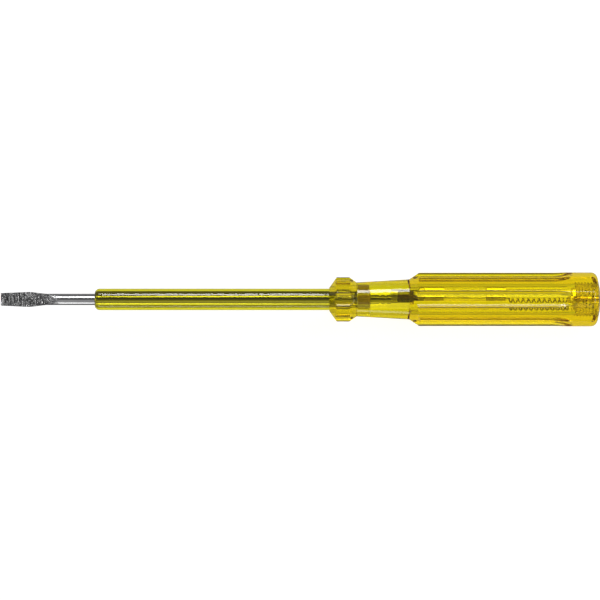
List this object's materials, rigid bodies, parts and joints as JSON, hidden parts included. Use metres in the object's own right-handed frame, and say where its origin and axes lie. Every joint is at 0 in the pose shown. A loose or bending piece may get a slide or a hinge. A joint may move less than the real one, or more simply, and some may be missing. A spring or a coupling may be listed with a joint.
{
  "type": "voltage tester screwdriver",
  "caption": "Mains voltage tester screwdriver: flat blade in an insulating sleeve, clear fluted handle with a guard, neon lamp, resistor and spring inside, screw plug with touch contact.",
  "frame": {"origin": "middle of the blade's flat end face, on the tool's axis", "axes": "+X along the tool's axis from the blade's end to the end plug, +Z square to the flat of the blade, +Y across the flat of the blade"},
  "size_m": [0.1903, 0.017, 0.0166],
  "materials": {
    "blade_steel": "forged and blasted flat tip, smooth bright shaft",
    "sleeve_plastic": "clear yellow, smooth and glossy",
    "handle_plastic": "clear yellow, polished moulding",
    "plug_plastic": "clear yellow, moulded thread",
    "contact_metal": "turned, slightly dulled",
    "resistor_ceramic": "unglazed rod",
    "resistor_lacquer": "dark lacquer, slightly uneven",
    "resistor_cap_metal": "tinned, pressed",
    "lamp_glass": "clear thin tube",
    "lamp_cap_metal": "drawn thin brass, dulled",
    "lamp_cement": "dull cement",
    "electrode_nickel": "drawn nickel wire",
    "solder": "frozen drop, softly shining",
    "spring_steel": "plated drawn wire"
  },
  "bodies": {
    "handle": {"blade": "blade_steel", "blade_sleeve": "sleeve_plastic", "handle": "handle_plastic", "resistor_core": "resistor_ceramic", "resistor_coating": "resistor_lacquer", "resistor_front_cap": "resistor_cap_metal", "resistor_rear_cap": "resistor_cap_metal", "lamp_glass": "lamp_glass", "lamp_front_cap": "lamp_cap_metal", "lamp_front_cement": "lamp_cement", "lamp_front_bead": "lamp_glass", "lamp_front_electrode": "electrode_nickel", "lamp_front_solder": "solder", "lamp_rear_cap": "lamp_cap_metal", "lamp_rear_cement": "lamp_cement", "lamp_rear_bead": "lamp_glass", "lamp_rear_electrode": "electrode_nickel", "lamp_rear_solder": "solder", "contact_spring": "spring_steel"},
    "touch_contact": {"touch_contact": "contact_metal"},
    "cap_plug": {"cap_plug": "plug_plastic"}
  },
  "joints": [
    {"name": "cap_travel", "type": "slide", "parent": "handle", "child": "touch_contact", "axis": [1, 0, 0], "range_m": [0, 0.007], "deforming": ["contact_spring"]},
    {"name": "cap_turn", "type": "hinge", "parent": "touch_contact", "child": "cap_plug", "pos_m": [0.1855, 0, 0], "axis": [1, 0, 0], "range_deg": [0, 2520]}
  ],
  "couplings": [
    {"joint": "cap_turn", "follows": "cap_travel", "rad_per_m": 6283.2}
  ]
}
